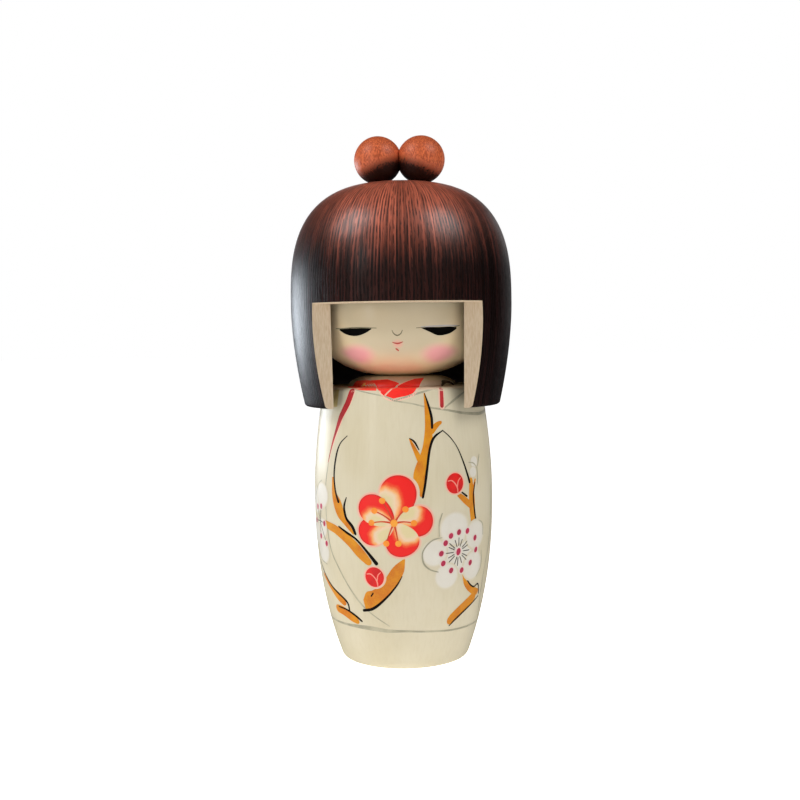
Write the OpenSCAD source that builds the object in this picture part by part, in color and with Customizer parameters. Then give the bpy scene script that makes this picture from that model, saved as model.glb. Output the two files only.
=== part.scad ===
// Turned wooden doll with a bobbed hair cap, two hair buns and a head that turns
// on its neck dowel. Millimetres, +Z up, the front faces -Y, and the origin is
// the middle of the base.

/* [Body] */
// Height of the shoulder above the base
shoulder_z = 84; // [70:0.5:101]
// Largest radius of the body
belly_r = 27.5; // [25:0.1:33]
// Height of the body's widest ring
belly_z = 51.5; // [42:0.5:60]
// Radius that the flank reaches at the base, before the edge is rounded
foot_r = 19.2; // [16:0.1:23]
// Radius that the flank reaches at the shoulder
shoulder_r = 24.3; // [20:0.1:27]
// How late the lower flank curves in
flank_power = 2.3; // [1.8:0.1:3]
// How late the upper flank curves in
chest_power = 1.8; // [1.4:0.1:2.6]
// Rounding of the base's edge
foot_fillet = 2.5; // [1:0.1:4]
// Rounding of the shoulder's edge
shoulder_fillet = 1.4; // [0.5:0.1:2.5]

/* [Collar] */
// Radius of the raised collar where it leaves the shoulder
collar_r = 16.7; // [13.5:0.1:19]
// Radius of the collar's flat top
collar_top_r = 11.6; // [9:0.1:13.4]
// Height of the collar above the shoulder
collar_h = 3; // [2:0.1:5]

/* [Head] */
// Largest radius of the head
head_r = 27; // [22.5:0.1:33]
// Height from the chin's flat to the head's widest ring
chin_h = 18.8; // [15:0.1:24]
// Height from the head's widest ring to the flat that is glued into the hair
brow_h = 26.6; // [22:0.1:32]
// Squareness of the head below its widest ring
chin_power = 2.4; // [2:0.1:3]
// Squareness of the head above its widest ring
brow_power = 2.2; // [2:0.1:3]
// Radius of the flat under the chin
chin_flat_r = 8.6; // [7.5:0.1:12]
// Radius of the flat on top of the head
crown_flat_r = 9.8; // [7:0.1:14]

/* [Hair] */
// Gap between the head's widest ring and the hair around it
cheek_gap = 3.3; // [2:0.1:6]
// Gap between the body and the hair's lower edge
shoulder_gap = 3.1; // [2:0.1:6]
// How far the hair hangs down past the shoulder
hem_drop = 6; // [2:0.1:12]
// Height of the hair's widest ring above the head's widest ring
hair_ring_rise = 2.4; // [0:0.1:6]
// Thickness of the hair's wall at its widest ring
fringe_wall = 3.6; // [2.4:0.1:5]
// Thickness of the hair's wall at its lower edge
hem_wall = 1.6; // [1.4:0.1:2.5]
// Thickness of the wood between the head and the crown
crown_wall = 12.9; // [10.5:0.1:16]
// Squareness of the dome
dome_power = 2.84; // [2:0.02:3.4]
// Squareness of the hollow's roof
roof_power = 2.6; // [2:0.1:3]
// How late the hair curves in towards its lower edge
bob_power = 1.75; // [1.4:0.05:2.4]
// How far the crown is turned down flat, where the buns stand
crown_cut = 0.25; // [0.1:0.05:0.6]
// Rounding of the lower edge's outer corner
hem_fillet = 1.1; // [0.5:0.1:1.3]

/* [Face window] */
// Height of the fringe's lower edge above the hair's widest ring
fringe_h = 0; // [-4:0.1:4]
// Depth of the sawn slab under the fringe
slab_top = 10.6; // [8:0.1:13]
// Depth of the sawn slab at the hair's lower edge
slab_bottom = 9; // [7:0.1:11]

/* [Buns] */
// Radius of each bun
bun_r = 7.3; // [5.5:0.1:9]
// Depth of the flats where the two buns meet
bun_side_flat = 0.7; // [0.2:0.1:1]
// Depth of the flat that a bun stands on
bun_foot_flat = 0.15; // [0.1:0.05:0.4]

/* [Dowels] */
// Radius of the neck dowel
neck_dowel_r = 6; // [4:0.1:7.3]
// Depth of the neck dowel in the body
neck_dowel_down = 22; // [14:0.5:30]
// Depth of the neck dowel in the head
neck_dowel_up = 14; // [8:0.5:18]
// Radius of the dowel between the head and the hair
crown_dowel_r = 4; // [2.5:0.1:4.9]
// Depth of that dowel in the head
crown_dowel_down = 12; // [8:0.5:16]
// Depth of that dowel in the hair
crown_dowel_up = 5; // [3:0.5:6]
// Radius of each bun's dowel
bun_dowel_r = 1.2; // [0.9:0.1:1.5]
// Depth of a bun's dowel in the hair
bun_dowel_down = 6.5; // [4:0.5:8]
// Height of a bun's dowel in the bun
bun_dowel_up = 6; // [4:0.5:8]

/* [Fits] */
// Gap between the collar and the chin, so that the head turns freely
chin_gap = 0.4; // [0.3:0.1:1]
// Radial clearance of the neck dowel that turns in the body
turning_clearance = 0.07; // [0.02:0.01:0.1]
// Radial glue gap around a dowel that is fixed
glue_gap = 0.05; // [0.02:0.01:0.1]
// Free length at the closed end of each dowel hole
end_gap = 0.3; // [0.3:0.1:1]
// Depth of the small bevel at each end of a dowel
dowel_bevel = 0.4; // [0.2:0.1:0.6]

/* [Colours] */
// Cream lacquer of the body and the face
cream = "#e6dcbf";
// Dark stain of the hair
stain = "#3a2220";
// Reddish stain of the buns
bun_stain = "#7d3f22";
// Bare dowel wood
bare_wood = "#c9a878";

/* [Hidden] */

$fn = 96;
PAST = 1;                // how far a cutting shape runs past what it cuts
FLANK_STEPS = 18;        // straight facets that follow each stretch of flank
ARC_STEPS = 6;           // and each small rounding
DOME_STEPS = 20;         // and each dome

// A stretch of flank: the radius leaves ring_r and reaches end_r at share 1.
function flank(ring_r, end_r, share, power) = ring_r - (ring_r - end_r) * pow(share, power);

// How far that stretch leans at its end, in degrees.
function end_lean(ring_r, end_r, height, power) = atan((ring_r - end_r) * power / height);

chest_h = shoulder_z - belly_z;
collar_z = shoulder_z + collar_h;
chin_z = collar_z + chin_gap;
head_ring_z = chin_z + chin_h;
seat_z = head_ring_z + brow_h;      // where the head's top meets the hair's roof

hair_ring_z = head_ring_z + hair_ring_rise;
hair_r = head_r + cheek_gap + fringe_wall;
hem_z = shoulder_z - hem_drop;
hem_inner_r = flank(belly_r, shoulder_r, (hem_z - belly_z) / chest_h, chest_power) + shoulder_gap;
hem_r = hem_inner_r + hem_wall;
bob_h = hair_ring_z - hem_z;
crown_z = seat_z + crown_wall;
dome_h = crown_z + crown_cut - hair_ring_z;
fringe_z = hair_ring_z + fringe_h;

bun_x = bun_r - bun_side_flat;
bun_z = crown_z + bun_r - bun_foot_flat;

// The height share at which a dome of this squareness has closed in to radius r.
function dome_share(r, ring_r, power) = pow(1 - pow(r / ring_r, power), 1 / power);

// Points round a quarter of a dome, from its ring up (or, with height below zero, down)
// to the flat of radius flat_r that ends it.
function dome(ring_r, ring_z, height, power, flat_r, steps) =
    let (share = dome_share(flat_r, ring_r, power),
         last = atan(pow(share * ring_r / flat_r, power / 2)))
    [for (i = [0:steps])
        let (a = last * i / steps)
        [ring_r * pow(cos(a), 2 / power), ring_z + height / share * pow(sin(a), 2 / power)]];

function arc(x, z, r, from, to, steps) =
    [for (i = [0:steps]) let (a = from + (to - from) * i / steps) [x + r * cos(a), z + r * sin(a)]];

function backwards(points) = [for (i = [len(points) - 1:-1:0]) points[i]];

// A rounded lower edge and the flank above it, up to just under the widest ring.
function lower_half(ring_r, end_r, low_z, height, power, fillet) =
    let (slope = end_lean(ring_r, end_r, height, power),
         touch = fillet * (1 - sin(slope)),
         x = flank(ring_r, end_r, 1 - touch / height, power) - fillet * cos(slope))
    concat(
        arc(x, low_z + fillet, fillet, -90, -slope, ARC_STEPS),
        [for (i = [1:FLANK_STEPS - 1])
            let (z = touch + (height - touch) * i / FLANK_STEPS)
            [flank(ring_r, end_r, 1 - z / height, power), low_z + z]]);

// ---- Body ----

// Half section of the body, from the middle of its base to the middle of its collar.
function body_section() =
    let (slope = end_lean(belly_r, shoulder_r, chest_h, chest_power),
         touch = shoulder_fillet * (1 - sin(slope)),
         x = flank(belly_r, shoulder_r, 1 - touch / chest_h, chest_power)
             - shoulder_fillet * cos(slope))
    concat(
        [[0, 0]],
        lower_half(belly_r, foot_r, 0, belly_z, flank_power, foot_fillet),
        [for (i = [0:FLANK_STEPS - 1])
            let (share = (1 - touch / chest_h) * i / FLANK_STEPS)
            [flank(belly_r, shoulder_r, share, chest_power), belly_z + chest_h * share]],
        arc(x, shoulder_z - shoulder_fillet, shoulder_fillet, slope, 90, ARC_STEPS),
        dome(collar_r, shoulder_z, collar_h, 2, collar_top_r, ARC_STEPS),
        [[0, collar_z]]);

module body() {
    color(cream)
    difference() {
        rotate_extrude() polygon(body_section());
        translate([0, 0, collar_z - neck_dowel_down - end_gap])
            cylinder(r = neck_dowel_r + turning_clearance, h = neck_dowel_down + end_gap + PAST);
    }
}

// ---- Head ----

module head() {
    color(cream)
    difference() {
        rotate_extrude() polygon(concat(
            [[0, chin_z]],
            backwards(dome(head_r, head_ring_z, -chin_h, chin_power, chin_flat_r, DOME_STEPS)),
            [for (p = dome(head_r, head_ring_z, brow_h, brow_power, crown_flat_r, DOME_STEPS))
                if (p[1] > head_ring_z) p],
            [[0, seat_z]]));
        translate([0, 0, chin_z - PAST])
            cylinder(r = neck_dowel_r + glue_gap, h = PAST + neck_dowel_up + end_gap);
        translate([0, 0, seat_z - crown_dowel_down - end_gap])
            cylinder(r = crown_dowel_r + glue_gap, h = crown_dowel_down + end_gap + PAST);
    }
}

// ---- Hair ----

// Half section of the hair's outside, closed along the axis.
function hair_outside() =
    let (crown_r = hair_r * pow(1 - pow(1 - crown_cut / dome_h, dome_power), 1 / dome_power))
    concat(
        [[0, hem_z]],
        lower_half(hair_r, hem_r, hem_z, bob_h, bob_power, hem_fillet),
        dome(hair_r, hair_ring_z, dome_h - crown_cut, dome_power, crown_r, DOME_STEPS),
        [[0, crown_z]]);

// The hollow: a cone up to the fringe, then a roof that ends at the flat where
// the head is glued.
module hair_hollow() {
    rotate_extrude() polygon(concat(
        [[0, hem_z - PAST], [hem_inner_r, hem_z - PAST], [hem_inner_r, hem_z]],
        dome(hair_r - fringe_wall, fringe_z, seat_z - fringe_z, roof_power,
             crown_flat_r + cheek_gap, DOME_STEPS),
        [[0, seat_z]]));
}

// The slab of hair that is sawn away in front of the face.
module face_window() {
    cut_top = hair_r - slab_top;
    cut_bottom = hem_r - slab_bottom;
    slant = (cut_top - cut_bottom) / (fringe_z - hem_z);
    rotate([90, 0, 90]) translate([0, 0, -hair_r - PAST])
        linear_extrude(height = 2 * (hair_r + PAST)) polygon([
            [-cut_top, fringe_z],
            [-cut_bottom + slant * PAST, hem_z - PAST],
            [-hair_r - PAST, hem_z - PAST],
            [-hair_r - PAST, fringe_z]]);
}

module hair_cap() {
    color(stain)
    difference() {
        rotate_extrude() polygon(hair_outside());
        hair_hollow();
        face_window();
        translate([0, 0, seat_z - PAST])
            cylinder(r = crown_dowel_r + glue_gap, h = PAST + crown_dowel_up + end_gap);
        for (side = [-1, 1])
            translate([side * bun_x, 0, crown_z - bun_dowel_down - end_gap])
                cylinder(r = bun_dowel_r + glue_gap, h = bun_dowel_down + end_gap + PAST, $fn = 32);
    }
}

// ---- Buns ----

// A ball with one flat where it meets its twin and a smaller one where it stands.
// side is -1 for the bun at -X and 1 for the one at +X.
module bun(side) {
    color(bun_stain)
    difference() {
        translate([side * bun_x, 0, bun_z]) sphere(r = bun_r);
        translate([side > 0 ? -bun_r : 0, -bun_r, bun_z - bun_r])
            cube([bun_r, 2 * bun_r, 2 * bun_r]);
        translate([side * bun_x - bun_r, -bun_r, crown_z - bun_r])
            cube([2 * bun_r, 2 * bun_r, bun_r]);
        translate([side * bun_x, 0, crown_z - PAST])
            cylinder(r = bun_dowel_r + glue_gap, h = PAST + bun_dowel_up + end_gap, $fn = 32);
    }
}

module bun_left() bun(-1);
module bun_right() bun(1);

// ---- Dowels ----

// A round peg with bevelled ends, from low to high.
module dowel(r, low, high) {
    color(bare_wood)
    rotate_extrude() polygon([
        [0, low], [r - dowel_bevel, low], [r, low + dowel_bevel],
        [r, high - dowel_bevel], [r - dowel_bevel, high], [0, high]]);
}

module bun_dowel(side) {
    translate([side * bun_x, 0, 0])
        dowel(bun_dowel_r, crown_z - bun_dowel_down, crown_z + bun_dowel_up);
}

module neck_dowel() dowel(neck_dowel_r, collar_z - neck_dowel_down, chin_z + neck_dowel_up);
module crown_dowel() dowel(crown_dowel_r, seat_z - crown_dowel_down, seat_z + crown_dowel_up);
module bun_dowel_left() bun_dowel(-1);
module bun_dowel_right() bun_dowel(1);

body();
head();
hair_cap();
bun_left();
bun_right();
neck_dowel();
crown_dowel();
bun_dowel_left();
bun_dowel_right();
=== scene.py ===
"""A turned wooden doll: barrel body, ball head in a bobbed hair cap, and two ball buns.

Metres, +Z up, the face towards -Y. The sections follow the order in which the doll is made.
"""

import math

import bpy
from mathutils import Matrix, Vector


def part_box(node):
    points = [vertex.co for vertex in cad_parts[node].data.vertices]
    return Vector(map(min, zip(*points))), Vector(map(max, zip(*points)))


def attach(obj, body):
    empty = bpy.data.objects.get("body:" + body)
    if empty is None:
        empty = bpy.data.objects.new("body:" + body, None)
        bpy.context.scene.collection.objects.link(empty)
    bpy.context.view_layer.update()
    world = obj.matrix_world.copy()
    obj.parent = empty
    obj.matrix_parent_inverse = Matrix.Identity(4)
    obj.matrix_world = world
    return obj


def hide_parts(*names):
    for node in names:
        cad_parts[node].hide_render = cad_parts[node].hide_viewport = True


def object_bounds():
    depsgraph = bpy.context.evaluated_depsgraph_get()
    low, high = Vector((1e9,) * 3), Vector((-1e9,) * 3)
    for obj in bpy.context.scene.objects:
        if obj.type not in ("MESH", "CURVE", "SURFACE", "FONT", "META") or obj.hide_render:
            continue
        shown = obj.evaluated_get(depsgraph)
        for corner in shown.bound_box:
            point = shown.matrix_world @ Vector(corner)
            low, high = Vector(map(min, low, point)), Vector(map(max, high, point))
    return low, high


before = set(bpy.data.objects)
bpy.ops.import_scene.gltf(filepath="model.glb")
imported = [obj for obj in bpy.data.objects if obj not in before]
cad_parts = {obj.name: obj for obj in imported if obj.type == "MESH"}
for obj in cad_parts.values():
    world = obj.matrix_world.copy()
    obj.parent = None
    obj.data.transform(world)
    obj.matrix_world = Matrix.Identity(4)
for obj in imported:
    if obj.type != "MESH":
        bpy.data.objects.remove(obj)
cad_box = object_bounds()


# ---- Camera, floor and studio light ----
# A camera at face height close in front of the doll, a wide pale floor under it, two soft boxes
# overhead, a tall one beside the front, a weak fill in front and a cool strip behind each side.

MM = 0.001
doll_height = cad_box[1].z - cad_box[0].z

CAMERA_DISTANCE = 370 * MM
CAMERA_HEIGHT = 100 * MM
CAMERA_TURN = math.radians(3.0)
CAMERA_AIM = math.radians(0.115)
CAMERA_DIP = math.radians(3.204)
CAMERA_ROLL = math.radians(-0.73)

heading = CAMERA_TURN + CAMERA_AIM
camera_frame = (
    Matrix.Rotation(heading, 3, "Z")
    @ Matrix.Rotation(math.radians(90) - CAMERA_DIP, 3, "X")
    @ Matrix.Rotation(CAMERA_ROLL, 3, "Z")
)
bpy.ops.object.camera_add(
    location=(
        CAMERA_DISTANCE * math.sin(CAMERA_TURN),
        -CAMERA_DISTANCE * math.cos(CAMERA_TURN),
        CAMERA_HEIGHT,
    ),
    rotation=camera_frame.to_euler(),
)
camera = bpy.context.object
camera.data.lens = 53.86
camera.data.sensor_width = 36
camera.data.clip_start = 0.01
bpy.context.scene.camera = camera


def set_inputs(node, values):
    """Sets constants on a node's inputs, by name."""
    for label, value in values.items():
        node.inputs[label].default_value = value


def new_node(tree, kind, values=None):
    """A shader node of one kind, with constants on its inputs."""
    node = tree.nodes.new("ShaderNode" + kind)
    set_inputs(node, values or {})
    return node


def maths(tree, operation, *values):
    """A Math node whose inputs are sockets or plain numbers; returns its output."""
    node = new_node(tree, "Math")
    node.operation = operation
    for socket, value in zip(node.inputs, values):
        if isinstance(value, (int, float)):
            socket.default_value = value
        else:
            tree.links.new(value, socket)
    return node.outputs[0]


FLOOR_SIZE = 60 * doll_height
bpy.ops.object.select_all(action="DESELECT")
bpy.ops.mesh.primitive_plane_add(size=FLOOR_SIZE, location=(0, 0, -0.02 * MM))
floor = bpy.context.object
floor.name = "pale_floor"
paper = bpy.data.materials.new("pale_paper")
paper.use_nodes = True
paper_shader = paper.node_tree.nodes["Principled BSDF"]
PAPER_WHITE = (0.86, 0.86, 0.86, 1)
set_inputs(
    paper_shader,
    {"Base Color": PAPER_WHITE, "Roughness": 0.9, "Emission Color": (1, 1, 1, 1)},
)
# The floor glows: plain white to the camera and a glowing fill that lights the doll from below; in the
# doll's reflections it shows dark grey instead.
seen = new_node(paper.node_tree, "LightPath")
bounce = maths(paper.node_tree, "MULTIPLY", seen.outputs["Is Diffuse Ray"], 0.8)
glow = maths(paper.node_tree, "MAXIMUM", seen.outputs["Is Camera Ray"], bounce)
paper.node_tree.links.new(glow, paper_shader.inputs["Emission Strength"])
mirrored = new_node(paper.node_tree, "Mix")
mirrored.data_type = "RGBA"
set_inputs(mirrored, {"A": PAPER_WHITE, "B": (0.16, 0.16, 0.17, 1)})
paper.node_tree.links.new(seen.outputs["Is Glossy Ray"], mirrored.inputs["Factor"])
paper.node_tree.links.new(mirrored.outputs["Result"], paper_shader.inputs["Base Color"])
floor.data.materials.append(paper)


def soft_box(name, turn, tilt, distance, width, height, power, colour=(1, 1, 1)):
    """An area light that looks at the doll's middle, turn degrees round from the front."""
    target = Vector((0, 0, 0.6 * doll_height))
    a, e = math.radians(turn), math.radians(tilt)
    away = Vector((math.sin(a) * math.cos(e), -math.cos(a) * math.cos(e), math.sin(e)))
    bpy.ops.object.light_add(type="AREA", location=target + distance * away)
    light = bpy.context.object
    light.name = name
    light.rotation_euler = away.to_track_quat("Z", "Y").to_euler()
    light.data.shape = "RECTANGLE"
    light.data.size = width
    light.data.size_y = height
    light.data.energy = power
    light.data.color = colour


soft_box("soft_box_left", -64, 47, 0.9, 0.42, 0.42, 3.7, (1, 0.99, 0.975))
soft_box("soft_box_right", 62, 47, 0.9, 0.42, 0.42, 3.5, (1, 0.99, 0.975))
soft_box("tall_box_front", -38, 6, 1.0, 0.14, 0.7, 1.9)
soft_box("wide_front_fill", 10, -2, 1.1, 1.4, 0.7, 0.9)
soft_box("strip_behind_left", -127, -6, 0.9, 0.5, 0.36, 5.2, (0.84, 0.92, 1))
soft_box("strip_behind_right", 150, 6, 0.9, 0.1, 0.6, 0.15, (0.95, 0.97, 1))

# The room is white behind the doll and dim in front of it, as in a light tent.
world = bpy.data.worlds.new("studio")
world.use_nodes = True
tent = world.node_tree
view_ray = new_node(tent, "TexCoord")
parts = new_node(tent, "SeparateXYZ")
tent.links.new(view_ray.outputs["Generated"], parts.inputs[0])
fade = new_node(
    tent, "MapRange", {"From Min": 0.84, "From Max": 0.98, "To Min": 0.02, "To Max": 0.5}
)
tent.links.new(parts.outputs[1], fade.inputs["Value"])
seen = new_node(tent, "LightPath")
brightest = maths(tent, "MAXIMUM", fade.outputs["Result"], seen.outputs["Is Camera Ray"])
tent.nodes["Background"].inputs["Color"].default_value = (1, 1, 1, 1)
tent.links.new(brightest, tent.nodes["Background"].inputs["Strength"])
bpy.context.scene.world = world
bpy.context.scene.view_settings.view_transform = "Standard"


# ---- Body ----
# A barrel turned from pale close-grained wood: flat base, swelling flank, nearly flat shoulder and
# a low collar with the hole for the neck dowel. Clear cream lacquer over the bare wood.

body_low, body_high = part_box("body")
belly_r = min(body_high.x, body_high.y, -body_low.x, -body_low.y)
collar_z = body_high.z
shoulder_z = collar_z - 3 * MM
belly_z = 51.5 * MM
foot_r = 19.2 * MM
shoulder_r = 24.3 * MM
collar_r = 16.7 * MM
collar_top_r = 11.6 * MM
neck_hole_r = 6.07 * MM
neck_hole_z = collar_z - 22.3 * MM
foot_fillet = 2.5 * MM
FOOT_CURVE = 2.3
SHOULDER_CURVE = 1.8
LATHE_STEPS = 128
WELD = 0.002 * MM
SMOOTH_UNDER = math.radians(32)


def flank(ring_r, end_r, share, power):
    """Radius of a flank that leaves its widest ring at share 0 and reaches end_r at share 1."""
    return ring_r - (ring_r - end_r) * share**power


def corner(x, z, radius, start, end, steps=8):
    """Points round a small rounded corner, angles in degrees."""
    turns = [math.radians(start + (end - start) * i / steps) for i in range(steps + 1)]
    return [(x + radius * math.cos(t), z + radius * math.sin(t)) for t in turns]


def lower_flank(ring_r, end_r, low_z, height, power, fillet, steps):
    """A rounded lower edge and the flank above it, up to just under the widest ring."""
    slope = math.atan((ring_r - end_r) * power / height)
    touch = fillet * (1 - math.sin(slope))
    x = flank(ring_r, end_r, 1 - touch / height, power) - fillet * math.cos(slope)
    rise = [touch + (height - touch) * i / steps for i in range(1, steps)]
    return corner(x, low_z + fillet, fillet, -90, -math.degrees(slope)) + [
        (flank(ring_r, end_r, 1 - z / height, power), low_z + z) for z in rise
    ]


def dome(ring_r, ring_z, height, power, flat_r, steps):
    """A quarter of a squared dome, from its widest ring to the flat of radius flat_r."""
    share = (1 - (flat_r / ring_r) ** power) ** (1 / power)
    last = math.atan((share * ring_r / flat_r) ** (power / 2))
    turns = [last * i / steps for i in range(steps + 1)]
    return [
        (
            ring_r * math.cos(t) ** (2 / power),
            ring_z + height / share * math.sin(t) ** (2 / power),
        )
        for t in turns
    ]


def turn_on_lathe(name, section, steps, closed=False):
    """Spins a half section of (radius, height) points into a turned piece with its seam welded."""
    bpy.ops.object.select_all(action="DESELECT")
    bpy.ops.mesh.primitive_circle_add(vertices=len(section), radius=0.01, fill_type="NOTHING")
    piece = bpy.context.object
    piece.name = name
    for vertex, (radius, height) in zip(piece.data.vertices, section):
        vertex.co = (radius, 0, height)
    bpy.ops.object.mode_set(mode="EDIT")
    bpy.ops.mesh.select_mode(type="EDGE")
    bpy.ops.mesh.select_all(action="DESELECT")
    bpy.ops.object.mode_set(mode="OBJECT")
    if not closed:
        ends = {0, len(section) - 1}
        for edge in piece.data.edges:
            edge.select = set(edge.vertices) == ends
        bpy.ops.object.mode_set(mode="EDIT")
        bpy.ops.mesh.delete(type="EDGE")
        bpy.ops.object.mode_set(mode="OBJECT")
    bpy.ops.object.mode_set(mode="EDIT")
    bpy.ops.mesh.select_all(action="SELECT")
    bpy.ops.mesh.spin(steps=steps, angle=math.tau, center=(0, 0, 0), axis=(0, 0, 1))
    bpy.ops.mesh.select_all(action="SELECT")
    bpy.ops.mesh.remove_doubles(threshold=WELD)
    bpy.ops.mesh.normals_make_consistent(inside=False)
    bpy.ops.object.mode_set(mode="OBJECT")
    bpy.ops.object.shade_smooth_by_angle(angle=SMOOTH_UNDER)
    return piece


chest_h = shoulder_z - belly_z
shoulder_fillet = 1.4 * MM
shoulder_slope = math.atan((belly_r - shoulder_r) * SHOULDER_CURVE / chest_h)
shoulder_touch = shoulder_fillet * (1 - math.sin(shoulder_slope))
chest_share = 1 - shoulder_touch / chest_h
shoulder_x = flank(belly_r, shoulder_r, chest_share, SHOULDER_CURVE)
shoulder_x -= shoulder_fillet * math.cos(shoulder_slope)
chest_rise = [chest_share * i / 40 for i in range(40)]
body_skin = (
    lower_flank(belly_r, foot_r, 0, belly_z, FOOT_CURVE, foot_fillet, 60)
    + [
        (flank(belly_r, shoulder_r, share, SHOULDER_CURVE), belly_z + chest_h * share)
        for share in chest_rise
    ]
    + corner(
        shoulder_x,
        shoulder_z - shoulder_fillet,
        shoulder_fillet,
        math.degrees(shoulder_slope),
        90,
    )
    + dome(collar_r, shoulder_z, collar_z - shoulder_z, 2, collar_top_r, 12)
)
turned_body = turn_on_lathe(
    "turned_body",
    [(0, 0)] + body_skin + [(neck_hole_r, collar_z), (neck_hole_r, neck_hole_z), (0, neck_hole_z)],
    LATHE_STEPS,
)


def node_group(name, inputs, outputs):
    """An empty shader node group with named sockets, and its input and output nodes."""
    group = bpy.data.node_groups.new(name, "ShaderNodeTree")
    for label, kind, value in inputs:
        socket = group.interface.new_socket(label, in_out="INPUT", socket_type=kind)
        if value is not None:
            socket.default_value = value
    for label, kind in outputs:
        group.interface.new_socket(label, in_out="OUTPUT", socket_type=kind)
    return group, group.nodes.new("NodeGroupInput"), group.nodes.new("NodeGroupOutput")


def remap(tree, value, low, high, to_low=0.0, to_high=1.0):
    """A smooth step from low to high."""
    ends = {"From Min": low, "From Max": high, "To Min": to_low, "To Max": to_high}
    node = new_node(tree, "MapRange", ends)
    node.interpolation_type = "SMOOTHSTEP"
    tree.links.new(value, node.inputs["Value"])
    return node.outputs["Result"]


def coordinates(tree, kind):
    """The coordinates of one kind, as a vector socket and as three separate ones."""
    place = new_node(tree, "TexCoord")
    apart = new_node(tree, "SeparateXYZ")
    tree.links.new(place.outputs[kind], apart.inputs[0])
    return place.outputs[kind], apart.outputs


def reach_of(tree, first, second):
    """The length of a flat vector given by two sockets."""
    squares = [maths(tree, "MULTIPLY", value, value) for value in (first, second)]
    return maths(tree, "SQRT", maths(tree, "ADD", *squares))


def mix(tree, factor, first, second):
    """Mixes two colours, each a socket or three display values; returns the colour socket."""
    node = new_node(tree, "Mix")
    node.data_type = "RGBA"
    tree.links.new(factor, node.inputs["Factor"])
    for socket, value in ((node.inputs["A"], first), (node.inputs["B"], second)):
        if isinstance(value, tuple):
            socket.default_value = display_colour(*value)
        else:
            tree.links.new(value, socket)
    return node.outputs["Result"]


def display_colour(red, green, blue):
    """A linear colour from the display values, 0 to 255, that a painter would mix."""
    parts = [c / 255 for c in (red, green, blue)]
    return tuple(c / 12.92 if c <= 0.04045 else ((c + 0.055) / 1.055) ** 2.4 for c in parts) + (1,)


def new_material(name, roughness, coat, coat_roughness=0.12, specular=0.35):
    """A material with its Principled shader, and the constants of its lacquer."""
    material = bpy.data.materials.new(name)
    material.use_nodes = True
    shader = material.node_tree.nodes["Principled BSDF"]
    set_inputs(shader, {"Roughness": roughness, "Coat Weight": coat})
    set_inputs(shader, {"Coat Roughness": coat_roughness, "Specular IOR Level": specular})
    return material, material.node_tree, shader


# Fibres that run up the doll and turn with its surface, from fine noise read on a cylinder.
wood_fibre, fibre_in, fibre_out = node_group(
    "wood_fibre",
    [
        ("Across", "NodeSocketFloat", 900.0),
        ("Along", "NodeSocketFloat", 30.0),
        ("Round", "NodeSocketFloat", 1.0),
        ("Lines", "NodeSocketFloat", 200.0),
    ],
    [("Fibre", "NodeSocketFloat"), ("Blotch", "NodeSocketFloat"), ("Line", "NodeSocketFloat")],
)
place, apart = coordinates(wood_fibre, "Object")
radius = reach_of(wood_fibre, apart[0], apart[1])
# Round 1 follows the surface like hair combed down a dome, Round 0 runs straight through the wood.
even_r = maths(wood_fibre, "ADD", maths(wood_fibre, "MULTIPLY", fibre_in.outputs["Round"], radius), 1e-6)
spread = maths(wood_fibre, "DIVIDE", 0.03, even_r)
spread = maths(wood_fibre, "MULTIPLY", spread, fibre_in.outputs["Round"])
plain = maths(wood_fibre, "SUBTRACT", 1.0, fibre_in.outputs["Round"])
factor = maths(wood_fibre, "ADD", spread, plain)
together = new_node(wood_fibre, "CombineXYZ")
across = fibre_in.outputs["Across"]
for axis in (0, 1):
    side = maths(wood_fibre, "MULTIPLY", apart[axis], factor)
    wood_fibre.links.new(maths(wood_fibre, "MULTIPLY", side, across), together.inputs[axis])
wood_fibre.links.new(
    maths(wood_fibre, "MULTIPLY", apart[2], fibre_in.outputs["Along"]), together.inputs[2]
)
fine = new_node(wood_fibre, "TexNoise", {"Scale": 1.0, "Detail": 3.0, "Roughness": 0.6})
wood_fibre.links.new(together.outputs[0], fine.inputs["Vector"])
broad = new_node(wood_fibre, "TexNoise", {"Scale": 45.0, "Detail": 2.0})
wood_fibre.links.new(place, broad.inputs["Vector"])
# The combed grain: fine lines that all meet at the crown, a whole number of them, a little wavy.
turn_angle = maths(wood_fibre, "ARCTAN2", apart[0], apart[1])
wave = maths(wood_fibre, "MULTIPLY", turn_angle, fibre_in.outputs["Lines"])
wave = maths(wood_fibre, "ADD", wave, maths(wood_fibre, "MULTIPLY", broad.outputs["Fac"], 14.0))
wave = maths(wood_fibre, "ADD", maths(wood_fibre, "MULTIPLY", maths(wood_fibre, "SINE", wave), 0.5), 0.5)
for label, value in (("Fibre", fine.outputs["Fac"]), ("Blotch", broad.outputs["Fac"]), ("Line", wave)):
    wood_fibre.links.new(value, fibre_out.inputs[label])


def add_fibre(tree, across_scale, along_scale, round_share):
    """Places the wood_fibre group in a material; returns its Fibre, Blotch and Line sockets."""
    node = new_node(tree, "Group")
    node.node_tree = wood_fibre
    set_inputs(node, {"Across": across_scale, "Along": along_scale, "Round": round_share})
    return node.outputs["Fibre"], node.outputs["Blotch"], node.outputs["Line"]


def add_relief(tree, shader, height, depth):
    """Feeds a height, as deep as depth metres, to the shader through a bump."""
    bump = new_node(tree, "Bump", {"Strength": 1.0, "Distance": depth})
    tree.links.new(height, bump.inputs["Height"])
    tree.links.new(bump.outputs["Normal"], shader.inputs["Normal"])


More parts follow.
